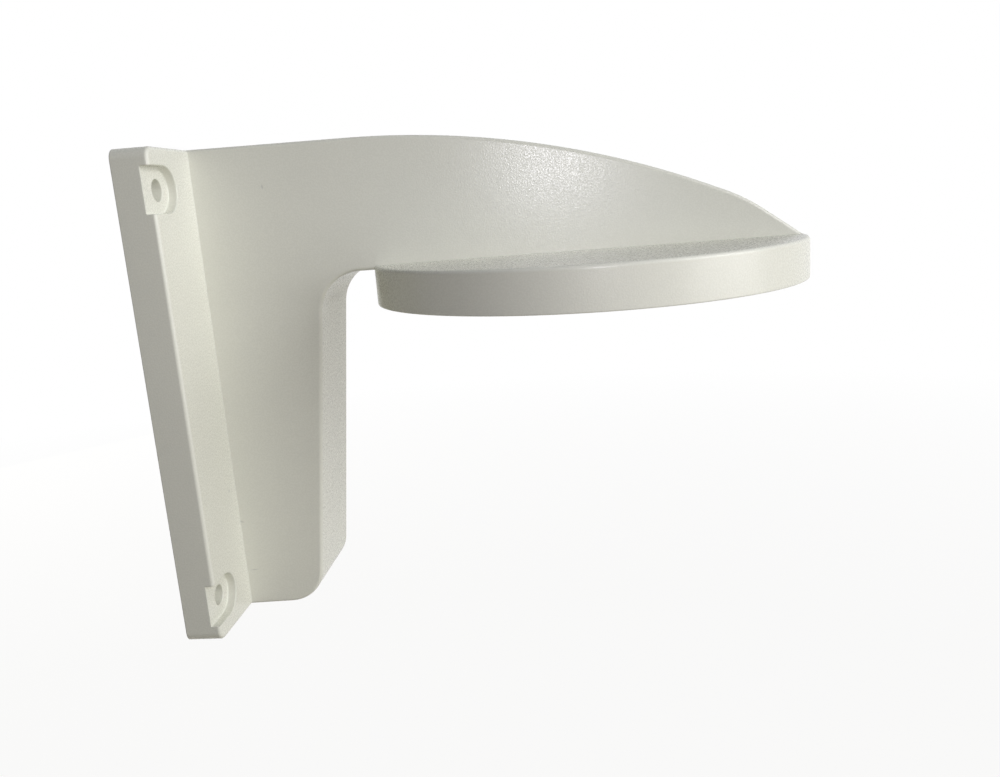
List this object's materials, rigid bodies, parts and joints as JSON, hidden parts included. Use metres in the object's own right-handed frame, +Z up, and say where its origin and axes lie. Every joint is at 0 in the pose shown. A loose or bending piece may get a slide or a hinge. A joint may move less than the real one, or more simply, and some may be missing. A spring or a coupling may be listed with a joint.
{
  "type": "camera wall bracket",
  "caption": "One-piece moulded plastic wall bracket with a screw-on plate, a hollow L-shaped arm for the cable and a round dish that a camera hangs under.",
  "frame": {"origin": "centre of the wall plate's back, in the plane of the wall, midway between the wall screws", "axes": "+X leads away from the wall towards the dish, +Y runs across the plate and +Z is up"},
  "size_m": [0.183, 0.125, 0.138],
  "materials": {
    "bracket_body": "warm off-white plastic with a fine satin grain"
  },
  "bodies": {
    "root": {"bracket_body": "bracket_body"}
  },
  "joints": []
}
